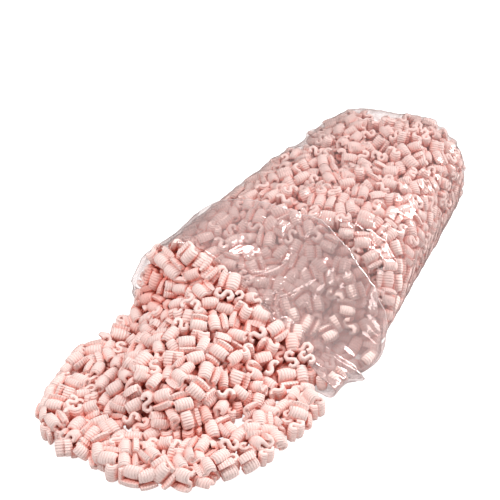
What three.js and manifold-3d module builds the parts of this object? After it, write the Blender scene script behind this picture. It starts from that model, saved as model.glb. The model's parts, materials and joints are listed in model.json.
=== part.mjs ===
// A clear film bag of foam packing peanuts. The bag lies on its side with its mouth
// open and folded back, and part of its contents has run out onto the floor.
// Units are millimetres. +Z is up, the floor is the plane z = 0, the bag's closed
// end points along +Y and its mouth along -Y.

import * as THREE from 'three';
import * as BufferGeometryUtils from 'three/addons/utils/BufferGeometryUtils.js';
import Module from 'manifold-3d';

// ---------------------------------------------------------------- dimensions

const FILM_WALL = 1.0;      // stands in for film about 0.06 thick
const GAP = 0.4;            // between pieces that touch
const RING_POINTS = 36;     // points around the bag
const WIDEST_AT = 0.4;      // height of the widest point, as a share of the height

// Cross sections of the bag: [y, left x, right x, height, boxiness of the outline].
const BAG_SECTIONS = [
  [-262, -82, 274, 66, 2.1],
  [-235, -80, 274, 92, 2.1],
  [-190, -74, 275, 138, 2.2],
  [-140, -54, 273, 150, 2.3],
  [-50, -34, 267, 160, 2.4],
  [40, -12, 260, 166, 2.5],
  [130, 6, 252, 166, 2.6],
  [195, 20, 245, 164, 2.8],
  [232, 28, 240, 152, 3.0],
  [252, 42, 228, 126, 3.0],
  [263, 66, 204, 84, 2.6],
];
const BAG_END_Y = 267;
const BAG_STEPS = [0, 0.05, 0.10, 0.155, 0.21, 0.27, 0.33, 0.45, 0.57, 0.68, 0.78, 0.86, 0.92, 0.96, 1];
const FRONT_STEPS = 3;      // steps between the mouth's edge and the fill's front
const SETTLE_TURNS = 8;

// Towards the mouth the bag is slack on its right side and sinks onto its contents.
const SAG_SHARE = 0.78;
const SAG_FROM_X = -10;
const SAG_FULL_X = 265;
const SAG_FROM_Y = -60;
const SAG_FULL_Y = -205;
const BAG_ANGLES = Array.from({ length: RING_POINTS }, (_, i) => i * 360 / RING_POINTS);

// The mouth's edge lies on the slanted plane y = RIM_Y + RIM_PER_X * x + RIM_PER_Z * z.
const RIM_Y = -228.4;
const RIM_PER_X = -0.083;
const RIM_PER_Z = 0.346;

// The film folded back over the mouth: its free edge runs straight across the top
// and slants towards the mouth on the right side.
const CUFF_EDGE_Y = -90;
const CUFF_SLANT_FROM_X = 150;
const CUFF_SLANT = 0.55;
const CUFF_LIFT = 2.4;      // clear space between the film and the layer over it
const CUFF_FIRST_DEGREES = -10;
const CUFF_LAST_DEGREES = 190;
const CUFF_ARC_STEPS = 20;
const CUFF_LENGTH_STEPS = 9;

// The fill ends inside the bag at this plane, and the heap begins there.
const FILL_FRONT_Y = -170;
const HEAP_BACK_Y = FILL_FRONT_Y - GAP;

// The heap's bulk: [y, left x, right x, height along its middle, height at its sides].
const HEAP_ROWS = [
  [HEAP_BACK_Y, -70, 272, 152, 122],
  [-190, -73, 272, 144, 98],
  [-206, -74, 272, 132, 58],
  [-232, -62, 262, 112, 20],
  [-262, -40, 214, 94, 18],
  [-300, -30, 192, 80, 18],
  [-340, -26, 172, 68, 16],
  [-380, -22, 156, 60, 16],
  [-412, -10, 138, 48, 16],
  [-432, 8, 114, 34, 16],
  [-444, 30, 88, 22, 16],
];
const HEAP_EDGE_SLOPE = 0.85;
const HEAP_SAG_START_Y = -230;   // in front of the mouth the heap loses the bag's sag
const HEAP_SAG_END_Y = -420;
const HEAP_COLUMNS = 20;
const HEAP_ROW_STEPS = 24;
const HEAP_SPACE_LENGTH = 400;
const HEAP_SPACE_COLLAR = 4;   // the heap keeps the mouth's outline this far past its edge
const HEAP_SPACE_STEP = 3;
const HEAP_SPACE_NEAR_SPREAD = 1;
const HEAP_SPACE_FAR_SPREAD = 3;
const HEAP_SPACE_FLOOR = -5;   // below the floor, so that the heap's own underside is kept

// One peanut: an extruded foam strip bent into an S.
const PEANUT_STRIP = 6.8;
const PEANUT_BEND_RADIUS = 5.2;
const PEANUT_WIDTH = 23;
const PEANUT_HOOK_DEGREES = 268;
const PEANUT_HOOK_STEPS = 8;

// Loose peanuts on the floor, set along rows that follow the heap's outline.
const SPILL_OUTLINE = [
  [-66, -258], [-68, -300], [-68, -350], [-68, -400], [-62, -438], [-42, -468],
  [-8, -488], [34, -498], [82, -499], [124, -492], [158, -470], [184, -438],
  [202, -402], [212, -362], [220, -322], [228, -290],
];
const SPILL_ROWS = [
  { inset: 0, spacing: 26 },
  { inset: 25, spacing: 24 },
  { inset: 44, spacing: 24 },
  { inset: 12, spacing: 12 },
];
const SPILL_SPACE = 1.0;
const SPILL_LIMIT = 54;
const SPILL_TRIES = 120;
const SPILL_JITTER = 8;
const SPILL_STANDING_SHARE = 0.35;
const SEED = 7;

// ---------------------------------------------------------------- materials

function foamMaterial() {
  return new THREE.MeshStandardMaterial({ color: 0xf6cfc6, roughness: 0.75, metalness: 0 });
}

function filmMaterial() {
  return new THREE.MeshStandardMaterial({
    color: 0xe9e4e2, roughness: 0.15, metalness: 0, transparent: true, opacity: 0.3,
  });
}

// ---------------------------------------------------------------- helpers

function seededRandom(seed) {
  let state = seed;
  return () => {
    state = (state * 16807) % 2147483647;
    return state / 2147483647;
  };
}

// Reads a table of rows [key, value, ...] at any key by smooth interpolation.
function readTable(table, key) {
  let index = 0;
  while (index < table.length - 2 && ascending(table, key, index)) index += 1;
  const before = table[Math.max(index - 1, 0)];
  const from = table[index];
  const to = table[index + 1];
  const after = table[Math.min(index + 2, table.length - 1)];
  const t = THREE.MathUtils.clamp((key - from[0]) / (to[0] - from[0]), 0, 1);
  return from.slice(1).map((value, column) => {
    const c = column + 1;
    const slopeFrom = (to[c] - before[c]) / (to[0] - before[0]) * (to[0] - from[0]);
    const slopeTo = (after[c] - value) / (after[0] - from[0]) * (to[0] - from[0]);
    const t2 = t * t;
    const t3 = t2 * t;
    return (2 * t3 - 3 * t2 + 1) * value + (t3 - 2 * t2 + t) * slopeFrom
      + (3 * t2 - 2 * t3) * to[c] + (t3 - t2) * slopeTo;
  });
}

// Says whether the key lies past the table row after this index, in the table's order.
function ascending(table, key, index) {
  const rising = table[1][0] > table[0][0];
  return rising ? key > table[index + 1][0] : key < table[index + 1][0];
}

function closedGeometry(points, triangles) {
  const geometry = new THREE.BufferGeometry();
  geometry.setAttribute('position', new THREE.Float32BufferAttribute(points.flat(), 3));
  geometry.setIndex(triangles.flat());
  geometry.computeVertexNormals();
  return geometry;
}

function toMesh(name, geometry, material) {
  const mesh = new THREE.Mesh(geometry, material);
  mesh.name = name;
  return mesh;
}

// Joins two rings of the same count with a band of triangles. Both rings run the same
// way. An inward band has the same triangles as an outward one, turned over.
function bandBetween(first, second, count, triangles, { closed = true, inward = false } = {}) {
  const steps = closed ? count : count - 1;
  for (let i = 0; i < steps; i += 1) {
    const next = (i + 1) % count;
    const pair = [[first + i, first + next, second + next], [first + i, second + next, second + i]];
    triangles.push(...(inward ? pair.map(turnedOver) : pair));
  }
}

function turnedOver([a, b, c]) {
  return [a, c, b];
}

// A plate between an upper and a lower grid of points with the same rows and columns.
function plateGeometry(upper, lower) {
  const rowLength = upper[0].length;
  const lastRow = (upper.length - 1) * rowLength;
  const half = lastRow + rowLength;
  const open = { closed: false };
  const triangles = [];
  for (let r = 0; r < upper.length - 1; r += 1) {
    const row = r * rowLength;
    bandBetween(row + rowLength, row, rowLength, triangles, open);
    bandBetween(half + row + rowLength, half + row, rowLength, triangles, { closed: false, inward: true });
    for (const here of [row, row + rowLength - 1]) {
      const next = here + rowLength;
      const side = [[here, half + next, next], [here, half + here, half + next]];
      triangles.push(...(here === row ? side : side.map(turnedOver)));
    }
  }
  bandBetween(0, half, rowLength, triangles, open);
  bandBetween(half + lastRow, lastRow, rowLength, triangles, open);
  return closedGeometry([...upper.flat(), ...lower.flat()], triangles);
}

// ---------------------------------------------------------------- bag shape

// How much of its height the bag has lost at a place: nothing away from the mouth.
function sagAt(x, y) {
  const { smoothstep, clamp, inverseLerp } = THREE.MathUtils;
  const sideways = clamp(inverseLerp(SAG_FROM_X, SAG_FULL_X, x), 0, 1);
  return SAG_SHARE * sideways * smoothstep(-y, -SAG_FROM_Y, -SAG_FULL_Y);
}

// A point of the bag's outline at length y and at an angle around the section. The
// underside is flat, because the bag lies on the floor.
function bagPoint(y, degrees) {
  const [left, right, height, boxiness] = readTable(BAG_SECTIONS, y);
  const angle = THREE.MathUtils.degToRad(degrees);
  const power = 2 / boxiness;
  const across = Math.sign(Math.cos(angle)) * Math.abs(Math.cos(angle)) ** power;
  const upward = Math.sign(Math.sin(angle)) * Math.abs(Math.sin(angle)) ** power;
  const x = (left + right) / 2 + (right - left) / 2 * across;
  const z = height * WIDEST_AT + height * (1 - WIDEST_AT) * upward;
  return [x, Math.max(z, 0) * (1 - sagAt(x, y))];
}

function rimY(x, z) {
  return RIM_Y + RIM_PER_X * x + RIM_PER_Z * z;
}

// The length y that a surface point has when it lies at the share along the way from
// a start line to an end line. Both lines depend on the point, so it is settled in turns.
function settlePoint(degrees, share, startY, endY) {
  let y = 0;
  let point = [0, 0];
  for (let turn = 0; turn < SETTLE_TURNS; turn += 1) {
    point = bagPoint(y, degrees);
    y = THREE.MathUtils.lerp(startY(point[0], point[1]), endY(point[0], point[1]), share);
  }
  return [point[0], y, point[1]];
}

function bagRing(share, startY, endY) {
  return BAG_ANGLES.map((degrees) => settlePoint(degrees, share, startY, endY));
}

// Moves a grid of rows of points square to its surface. A positive inset moves it
// inwards. The neighbours of each point give the surface's direction there.
function insetGrid(rows, inset, closed, lastPoint) {
  const count = rows[0].length;
  const wrap = (i) => (closed ? (i + count) % count : THREE.MathUtils.clamp(i, 0, count - 1));
  const vector = (point) => new THREE.Vector3(...point);
  return rows.map((row, r) => row.map((point, i) => {
    const around = vector(row[wrap(i + 1)]).sub(vector(row[wrap(i - 1)]));
    const before = rows[Math.max(r - 1, 0)][i];
    const after = r + 1 < rows.length ? rows[r + 1][i] : lastPoint ?? point;
    const normal = vector(after).sub(vector(before)).cross(around).normalize();
    const moved = vector(point).addScaledVector(normal, -inset);
    return [moved.x, moved.y, Math.max(moved.z, inset)];
  }));
}

// The rings of the bag from the mouth's edge to the closed end. The ring with index
// FRONT_STEPS lies in the plane where the fill ends.
function ringsOfBag(inset) {
  const front = [];
  for (let s = 0; s < FRONT_STEPS; s += 1) {
    front.push(bagRing(s / FRONT_STEPS, rimY, () => FILL_FRONT_Y));
  }
  const lastY = BAG_SECTIONS[BAG_SECTIONS.length - 1][0];
  const back = BAG_STEPS.map((share) => bagRing(share, () => FILL_FRONT_Y, () => lastY));
  return insetGrid([...front, ...back], inset, true, endCentre(0));
}

function endCentre(inset) {
  const [left, right, height] = readTable(BAG_SECTIONS, BAG_END_Y);
  return [(left + right) / 2, BAG_END_Y - inset, height * WIDEST_AT];
}

function ringCentre(ring) {
  const sum = ring.reduce((total, point) => total.map((value, axis) => value + point[axis]), [0, 0, 0]);
  return sum.map((value) => value / ring.length);
}

function fan(centre, first, count, triangles, outward) {
  for (let i = 0; i < count; i += 1) {
    const next = (i + 1) % count;
    triangles.push(outward ? [centre, first + next, first + i] : [centre, first + i, first + next]);
  }
}

// ---------------------------------------------------------------- bag film

function filmGeometry() {
  const outer = ringsOfBag(0);
  const inner = ringsOfBag(FILM_WALL);
  const count = outer.length;
  const points = [...outer.flat(), ...inner.flat(), endCentre(0), endCentre(FILM_WALL)];
  const innerStart = count * RING_POINTS;
  const outerEnd = innerStart * 2;
  const innerEnd = outerEnd + 1;
  const triangles = [];
  for (let s = 0; s < count - 1; s += 1) {
    bandBetween((s + 1) * RING_POINTS, s * RING_POINTS, RING_POINTS, triangles);
    const inner = innerStart + s * RING_POINTS;
    bandBetween(inner + RING_POINTS, inner, RING_POINTS, triangles, { inward: true });
  }
  bandBetween(0, innerStart, RING_POINTS, triangles);
  fan(outerEnd, (count - 1) * RING_POINTS, RING_POINTS, triangles, true);
  fan(innerEnd, innerStart + (count - 1) * RING_POINTS, RING_POINTS, triangles, false);
  return closedGeometry(points, triangles);
}

// The turned-back layer over the mouth, as an open band from the left side over the
// top to the right side, clear of the film below it and of the floor.
function cuffGeometry() {
  const freeEdgeY = (x) => CUFF_EDGE_Y - CUFF_SLANT * Math.max(x - CUFF_SLANT_FROM_X, 0);
  const rows = [];
  for (let s = 0; s <= CUFF_LENGTH_STEPS; s += 1) {
    rows.push([]);
    for (let a = 0; a <= CUFF_ARC_STEPS; a += 1) {
      const degrees = THREE.MathUtils.lerp(CUFF_FIRST_DEGREES, CUFF_LAST_DEGREES, a / CUFF_ARC_STEPS);
      rows[s].push(settlePoint(degrees, s / CUFF_LENGTH_STEPS, rimY, freeEdgeY));
    }
  }
  return plateGeometry(
    insetGrid(rows, -CUFF_LIFT - FILM_WALL, false), insetGrid(rows, -CUFF_LIFT, false));
}

// ---------------------------------------------------------------- contents

// A solid lofted through rings that run from the mouth's side to the closed end.
function loftGeometry(rings, endPoint) {
  const points = [...rings.flat(), ringCentre(rings[0]), endPoint];
  const triangles = [];
  for (let s = 0; s < rings.length - 1; s += 1) {
    bandBetween((s + 1) * RING_POINTS, s * RING_POINTS, RING_POINTS, triangles);
  }
  const startCentre = rings.length * RING_POINTS;
  fan(startCentre, 0, RING_POINTS, triangles, false);
  fan(startCentre + 1, (rings.length - 1) * RING_POINTS, RING_POINTS, triangles, true);
  return closedGeometry(points, triangles);
}

function fillGeometry() {
  const inset = FILM_WALL + GAP;
  return loftGeometry(ringsOfBag(inset).slice(FRONT_STEPS), endCentre(inset));
}

// The space the heap may take: the inside of the bag up to the mouth's edge, then
// everything in front of it.
function heapSpaceGeometry() {
  const inside = ringsOfBag(FILM_WALL + GAP).slice(0, FRONT_STEPS + 1);
  const back = inside[FRONT_STEPS].map(([x, y, z]) => [x, y - GAP, z]);
  const outwards = (distance, spread, floor) => {
    const centre = ringCentre(inside[0]);
    return inside[0].map(([x, y, z]) => [
      x + (x - centre[0]) * spread,
      y - distance,
      z > FILM_WALL + GAP ? z * (1 + spread) : floor,
    ]);
  };
  const rings = [
    outwards(HEAP_SPACE_LENGTH, HEAP_SPACE_FAR_SPREAD, HEAP_SPACE_FLOOR),
    outwards(HEAP_SPACE_COLLAR + HEAP_SPACE_STEP, HEAP_SPACE_NEAR_SPREAD, HEAP_SPACE_FLOOR),
    outwards(HEAP_SPACE_COLLAR, 0, FILM_WALL + GAP),
    ...inside.slice(0, FRONT_STEPS),
    back,
  ];
  return loftGeometry(rings, ringCentre(back));
}

function moundGeometry() {
  const rows = [];
  const backY = HEAP_ROWS[0][0];
  const frontY = HEAP_ROWS[HEAP_ROWS.length - 1][0];
  for (let r = 0; r <= HEAP_ROW_STEPS; r += 1) {
    const y = THREE.MathUtils.lerp(backY, frontY, r / HEAP_ROW_STEPS);
    const [left, right, crest, side] = readTable(HEAP_ROWS, y);
    const row = [];
    for (let c = 0; c <= HEAP_COLUMNS; c += 1) {
      const x = THREE.MathUtils.lerp(left, right, c / HEAP_COLUMNS);
      const fromEdge = Math.min(x - left, right - x);
      const full = Math.min(crest, side + HEAP_EDGE_SLOPE * fromEdge);
      const fade = THREE.MathUtils.smoothstep(y, HEAP_SAG_END_Y, HEAP_SAG_START_Y);
      row.push([x, y, full * (1 - sagAt(x, y) * fade)]);
    }
    rows.push(row);
  }
  return plateGeometry(rows, rows.map((row) => row.map(([x, y]) => [x, y, 0])));
}

async function intersectGeometries(first, second) {
  const wasm = await Module();
  wasm.setup();
  const solid = (geometry) => {
    const merged = geometry.clone();
    merged.deleteAttribute('normal');
    const shared = BufferGeometryUtils.mergeVertices(merged, 1e-4);
    return new wasm.Manifold(new wasm.Mesh({
      numProp: 3,
      vertProperties: new Float32Array(shared.attributes.position.array),
      triVerts: new Uint32Array(shared.index.array),
    }));
  };
  const result = solid(first).intersect(solid(second)).getMesh();
  const geometry = new THREE.BufferGeometry();
  geometry.setAttribute('position', new THREE.BufferAttribute(new Float32Array(result.vertProperties), 3));
  geometry.setIndex(new THREE.BufferAttribute(new Uint32Array(result.triVerts), 1));
  geometry.computeVertexNormals();
  return geometry;
}

// ---------------------------------------------------------------- loose peanuts

// The middle line of the S, as points with the direction square to the line.
function peanutMiddleLine() {
  const upper = [];
  for (let i = 0; i <= PEANUT_HOOK_STEPS; i += 1) {
    const turned = PEANUT_HOOK_DEGREES * (1 - i / PEANUT_HOOK_STEPS);
    const angle = THREE.MathUtils.degToRad(270 - turned);
    const normal = [Math.cos(angle), Math.sin(angle)];
    upper.push({
      at: [PEANUT_BEND_RADIUS * normal[0], PEANUT_BEND_RADIUS * (1 + normal[1])],
      normal,
    });
  }
  const lower = upper.slice(0, -1).reverse().map(({ at, normal }) => ({
    at: [-at[0], -at[1]],
    normal: [normal[0], normal[1]],
  }));
  return [...upper, ...lower];
}

function peanutGeometry() {
  const line = peanutMiddleLine();
  const half = PEANUT_STRIP / 2;
  const side = (sign) => line.map(({ at, normal }) => (
    new THREE.Vector2(at[0] + sign * half * normal[0], at[1] + sign * half * normal[1])));
  const outline = [...side(1), ...side(-1).reverse()];
  const geometry = new THREE.ExtrudeGeometry(new THREE.Shape(outline), {
    depth: PEANUT_WIDTH, bevelEnabled: false, curveSegments: 1,
  });
  geometry.translate(0, 0, -PEANUT_WIDTH / 2);
  return geometry;
}

// Points along the outline, moved inwards and set out at an even spacing.
function pointsAlongOutline(inset, spacing) {
  const corners = SPILL_OUTLINE.map(([x, y]) => new THREE.Vector3(x, y, 0));
  const curve = new THREE.CatmullRomCurve3(corners, false, 'centripetal');
  const count = Math.floor(curve.getLength() / spacing);
  const points = [];
  for (let i = 0; i <= count; i += 1) {
    const at = curve.getPointAt(i / count);
    const tangent = curve.getTangentAt(i / count);
    points.push(at.add(new THREE.Vector3(-tangent.y, tangent.x, 0).multiplyScalar(inset)));
  }
  return points;
}

// The floor rectangle a peanut covers, as a centre, two directions and two half sizes.
function footprint(peanut) {
  const halfLength = PEANUT_BEND_RADIUS * 2 + PEANUT_STRIP / 2;
  const halfDepth = peanut.standing ? PEANUT_BEND_RADIUS + PEANUT_STRIP / 2 : PEANUT_WIDTH / 2;
  const along = new THREE.Vector2(Math.cos(peanut.yaw), Math.sin(peanut.yaw));
  return {
    centre: new THREE.Vector2(peanut.x, peanut.y),
    axes: [along, new THREE.Vector2(-along.y, along.x)],
    halves: [halfLength + SPILL_SPACE / 2, halfDepth + SPILL_SPACE / 2],
  };
}

function footprintsMeet(first, second) {
  const between = second.centre.clone().sub(first.centre);
  const reach = (shape, axis) => shape.halves.reduce(
    (sum, half, i) => sum + half * Math.abs(shape.axes[i].dot(axis)), 0);
  return [...first.axes, ...second.axes].every(
    (axis) => Math.abs(between.dot(axis)) < reach(first, axis) + reach(second, axis));
}

function heapCovers(point, margin) {
  const backY = HEAP_ROWS[0][0];
  const frontY = HEAP_ROWS[HEAP_ROWS.length - 1][0];
  if (point.y > backY || point.y < frontY - margin) return false;
  const [left, right] = readTable(HEAP_ROWS, Math.max(point.y, frontY));
  return point.x > left - margin && point.x < right + margin;
}

function footprintIsFree(shape, placed) {
  const steps = [-1, -0.5, 0, 0.5, 1];
  const onHeap = steps.some((a) => steps.some((b) => heapCovers(
    shape.centre.clone()
      .addScaledVector(shape.axes[0], a * shape.halves[0])
      .addScaledVector(shape.axes[1], b * shape.halves[1]), SPILL_SPACE)));
  return !onHeap && !placed.some((other) => footprintsMeet(shape, other));
}

function placeSpill() {
  const random = seededRandom(SEED);
  const shapes = [];
  const peanuts = [];
  for (const row of SPILL_ROWS) {
    for (const point of pointsAlongOutline(row.inset, row.spacing)) {
      for (let attempt = 0; attempt < SPILL_TRIES && peanuts.length < SPILL_LIMIT; attempt += 1) {
        const peanut = {
          x: point.x + (random() - 0.5) * SPILL_JITTER,
          y: point.y + (random() - 0.5) * SPILL_JITTER,
          yaw: random() * Math.PI * 2,
          standing: random() < SPILL_STANDING_SHARE,
        };
        const shape = footprint(peanut);
        if (footprintIsFree(shape, shapes)) {
          shapes.push(shape);
          peanuts.push(peanut);
          break;
        }
      }
    }
  }
  return peanuts;
}

function spillMeshes() {
  const geometry = peanutGeometry();
  return placeSpill().map((peanut, index) => {
    const mesh = toMesh(`peanut_${String(index + 1).padStart(2, '0')}`, geometry, foamMaterial());
    const lyingHeight = PEANUT_BEND_RADIUS + PEANUT_STRIP / 2;
    mesh.rotation.set(0, peanut.standing ? 0 : Math.PI / 2, peanut.yaw - Math.PI / 2, 'ZYX');
    mesh.position.set(peanut.x, peanut.y, peanut.standing ? PEANUT_WIDTH / 2 : lyingHeight);
    return mesh;
  });
}

// ---------------------------------------------------------------- the object

const group = new THREE.Group();
group.add(toMesh('bag_film', filmGeometry(), filmMaterial()));
group.add(toMesh('bag_cuff', cuffGeometry(), filmMaterial()));
group.add(toMesh('peanut_fill', fillGeometry(), foamMaterial()));
group.add(toMesh('peanut_heap', await intersectGeometries(moundGeometry(), heapSpaceGeometry()), foamMaterial()));
for (const mesh of spillMeshes()) group.add(mesh);

// The frame's origin is the middle of the object's footprint on the floor.
group.updateMatrixWorld(true);
const bounds = new THREE.Box3().setFromObject(group, true);
const middle = bounds.getCenter(new THREE.Vector3());
group.position.set(-middle.x, -middle.y, -bounds.min.z);

export default group;
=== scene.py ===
"""Looks of a clear film bag of foam packing peanuts, lying open on its side.

The peanuts are packed by a small solver inside the CAD solids and laid out by a
Geometry Nodes tree. The film is then drawn tight over them.
"""

import json
import math

import bmesh
import bpy
import numpy as np
from mathutils import Matrix, Vector
from mathutils.bvhtree import BVHTree

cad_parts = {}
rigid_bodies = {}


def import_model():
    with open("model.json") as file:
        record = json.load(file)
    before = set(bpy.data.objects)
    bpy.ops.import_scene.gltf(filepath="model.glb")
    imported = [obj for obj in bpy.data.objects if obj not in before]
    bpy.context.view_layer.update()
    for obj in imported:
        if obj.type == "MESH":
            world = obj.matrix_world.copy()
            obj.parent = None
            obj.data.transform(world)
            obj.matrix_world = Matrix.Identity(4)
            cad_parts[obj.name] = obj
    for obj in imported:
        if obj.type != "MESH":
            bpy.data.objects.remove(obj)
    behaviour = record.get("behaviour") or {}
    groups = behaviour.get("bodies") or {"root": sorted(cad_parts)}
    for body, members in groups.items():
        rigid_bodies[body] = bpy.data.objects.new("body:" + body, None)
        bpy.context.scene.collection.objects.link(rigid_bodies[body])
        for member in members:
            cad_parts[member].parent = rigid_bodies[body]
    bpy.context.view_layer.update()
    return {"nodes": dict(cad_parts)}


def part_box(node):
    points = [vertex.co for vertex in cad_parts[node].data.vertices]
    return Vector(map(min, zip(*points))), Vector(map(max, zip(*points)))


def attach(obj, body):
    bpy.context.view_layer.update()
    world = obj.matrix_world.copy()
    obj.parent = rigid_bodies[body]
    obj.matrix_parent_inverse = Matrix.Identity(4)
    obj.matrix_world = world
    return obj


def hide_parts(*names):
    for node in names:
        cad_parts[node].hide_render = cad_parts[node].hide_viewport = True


bl_info = {
    "name": "Packing peanut bag",
    "version": (1, 0, 0),
    "blender": (4, 5, 0),
    "location": "3D View > Sidebar > Peanut bag",
    "description": "Foam packing peanuts in an open film bag, with a spilled heap",
    "category": "Object",
}

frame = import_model()

MM = 0.001
BODY = "root"
FILL_NODE = "peanut_fill"
HEAP_NODE = "peanut_heap"
FILM_NODE = "bag_film"
CUFF_NODE = "bag_cuff"
LOOSE_NODES = sorted(name for name in frame["nodes"] if name.startswith("peanut_") and name[-2:].isdigit())

# The place on the floor, in millimetres, that the mouth's planes and the camera are measured from.
BASE_X = -95.8
BASE_Y = 124.4


# ------------------------------------------------------------------ settings

class PeanutSettings(bpy.types.PropertyGroup):
    """Sizes, numbers and colour of the foam peanuts."""

    strip: bpy.props.FloatProperty(
        name="Strip thickness", description="Thickness of the foam strip",
        default=7.3 * MM, unit="LENGTH")
    bend: bpy.props.FloatProperty(
        name="Bend radius", description="Radius of the middle line of each hook",
        default=5.2 * MM, unit="LENGTH")
    width: bpy.props.FloatProperty(
        name="Width", description="Width of the strip across its ribs",
        default=23 * MM, unit="LENGTH")
    hook: bpy.props.FloatProperty(
        name="Hook angle", description="How far each hook of the S turns",
        default=math.radians(268), subtype="ANGLE")
    in_bag: bpy.props.IntProperty(
        name="Peanuts in bag", description="How many peanuts fill the bag", default=2330)
    in_heap: bpy.props.IntProperty(
        name="Peanuts in heap", description="How many peanuts lie in the heap", default=490)
    color: bpy.props.FloatVectorProperty(
        name="Foam colour", description="Colour of the foam", subtype="COLOR", size=3,
        default=(0.948, 0.715, 0.668))
    seed: bpy.props.IntProperty(
        name="Seed", description="Seed of the random layout", default=11)


# ------------------------------------------------------------------ the space to fill

def surface_of(name):
    """The faces of a CAD node as a search tree, in millimetres."""
    mesh = frame["nodes"][name].data
    return BVHTree.FromPolygons(
        [v.co / MM for v in mesh.vertices], [tuple(p.vertices) for p in mesh.polygons])


def box_of(name):
    """The lowest and highest corner of a CAD node, in millimetres."""
    low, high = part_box(name)
    return np.array(low) / MM, np.array(high) / MM


def blend_grid(grid, i, j):
    """Reads a 2D grid between its points."""
    i = np.clip(i, 0, grid.shape[0] - 1.001)
    j = np.clip(j, 0, grid.shape[1] - 1.001)
    i0 = i.astype(int)
    j0 = j.astype(int)
    a = i - i0
    b = j - j0
    low = grid[i0, j0] * (1 - b) + grid[i0, j0 + 1] * b
    high = grid[i0 + 1, j0] * (1 - b) + grid[i0 + 1, j0 + 1] * b
    return low * (1 - a) + high * a


class BagShape:
    """The inner wall of the bag, as distances from a middle line, in millimetres."""

    ANGLES = 96
    SLICE = 4.0
    FRONT_MARGIN = 4.0
    END_MARGIN = 1.5
    PROBE_HEIGHT = 40.0
    OPEN_TOP = 60.0
    CENTRE_HEIGHT_SHARE = 0.42
    MISSED = 900.0

    def __init__(self):
        surface = surface_of(FILM_NODE)
        low, high = box_of(FILM_NODE)
        self.low_y = low[1] + self.FRONT_MARGIN
        self.end_y = high[1] - self.END_MARGIN
        slices = np.arange(self.low_y, self.end_y - 1, self.SLICE)
        middle = (low[0] + high[0]) / 2
        centres = []
        reach = []
        for y in slices:
            probe = Vector((middle, y, self.PROBE_HEIGHT))
            left = self.first_hit(surface, probe, (-1, 0, 0))
            right = self.first_hit(surface, probe, (1, 0, 0))
            walled = max(left, right) < self.MISSED
            centre_x = middle + (right - left) / 2 if walled else middle
            top = self.first_hit(surface, Vector((centre_x, y, self.PROBE_HEIGHT)), (0, 0, 1))
            height = self.PROBE_HEIGHT + (top if top < self.MISSED else self.OPEN_TOP)
            centres.append((centre_x, height * self.CENTRE_HEIGHT_SHARE))
            start = Vector((centre_x, y, centres[-1][1]))
            reach.append([
                self.first_hit(surface, start, (math.cos(angle), 0, math.sin(angle)))
                for angle in np.arange(self.ANGLES) * 2 * math.pi / self.ANGLES])
        self.centres = np.array(centres)
        self.reach = np.array(reach)
        self.open = self.reach > self.MISSED
        for row in range(len(slices) - 2, -1, -1):
            missed = self.open[row]
            self.reach[row, missed] = self.reach[row + 1, missed]

    def first_hit(self, surface, start, way):
        """Distance to the surface along a ray, or a number past MISSED."""
        distance = surface.ray_cast(start, Vector(way))[3]
        return self.MISSED * 2 if distance is None else distance

    def centre(self, y):
        """The middle of the bag's section at each y."""
        row = np.clip((y - self.low_y) / self.SLICE, 0, len(self.centres) - 1.001)
        i = row.astype(int)
        share = (row - i)[..., None]
        return self.centres[i] * (1 - share) + self.centres[i + 1] * share

    def radius(self, y, angle):
        """Distance from the middle line to the wall."""
        wrapped = np.concatenate([self.reach, self.reach[:, :1]], axis=1)
        column = np.mod(angle, 2 * math.pi) * self.ANGLES / (2 * math.pi)
        return blend_grid(wrapped, (y - self.low_y) / self.SLICE, column)

    def is_open(self, y, angle):
        """Whether there is no wall at this place, because it lies in front of the mouth."""
        column = np.rint(np.mod(angle, 2 * math.pi) * self.ANGLES / (2 * math.pi)).astype(int) % self.ANGLES
        row = np.clip(np.rint((y - self.low_y) / self.SLICE).astype(int), 0, len(self.reach) - 1)
        return self.open[row, column] | (y < self.low_y)


class HeapShape:
    """How high the heap may stand at each place on the floor, in millimetres."""

    CELL = 6.0
    LOW = np.array([-204.0, -414.0])
    PROBE_HEIGHT = 400.0
    SKIRT_REACH = 24.0
    SKIRT_HEIGHT = 32.0
    OVER_BULK = 14.0

    def __init__(self):
        surface = surface_of(HEAP_NODE)
        self.back_y = box_of(HEAP_NODE)[1][1]
        xs = np.arange(self.LOW[0], -self.LOW[0] + 1, self.CELL)
        ys = np.arange(self.LOW[1], self.back_y + 2 * self.CELL, self.CELL)
        loose = np.array([(box_of(name)[0] + box_of(name)[1])[:2] / 2 for name in LOOSE_NODES])
        height = np.zeros((len(xs), len(ys)))
        for i, x in enumerate(xs):
            for j, y in enumerate(ys):
                above = Vector((x, min(y, self.back_y - 0.5), self.PROBE_HEIGHT))
                hit = surface.ray_cast(above, Vector((0, 0, -1)))[0]
                if hit is not None:
                    height[i, j] = hit.z + self.OVER_BULK
        grid = np.stack(np.meshgrid(xs, ys, indexing="ij"), axis=-1)
        near_loose = np.min(np.linalg.norm(grid[:, :, None] - loose, axis=-1), axis=-1) < self.SKIRT_REACH
        height = np.where(near_loose, np.maximum(height, self.SKIRT_HEIGHT), height)
        for _ in range(2):
            padded = np.pad(height, 1, mode="edge")
            height = (padded[:-2, 1:-1] + padded[2:, 1:-1] + padded[1:-1, :-2] + padded[1:-1, 2:]
                      + 2 * height) / 6
        self.height = height

    def at(self, x, y):
        """Height limit and its slopes along X and Y."""
        i = (x - self.LOW[0]) / self.CELL
        j = (y - self.LOW[1]) / self.CELL
        here = blend_grid(self.height, i, j)
        slope_x = (blend_grid(self.height, i + 0.5, j) - blend_grid(self.height, i - 0.5, j)) / self.CELL
        slope_y = (blend_grid(self.height, i, j + 0.5) - blend_grid(self.height, i, j - 0.5)) / self.CELL
        return here, slope_x, slope_y


# ------------------------------------------------------------------ packing the peanuts

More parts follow.
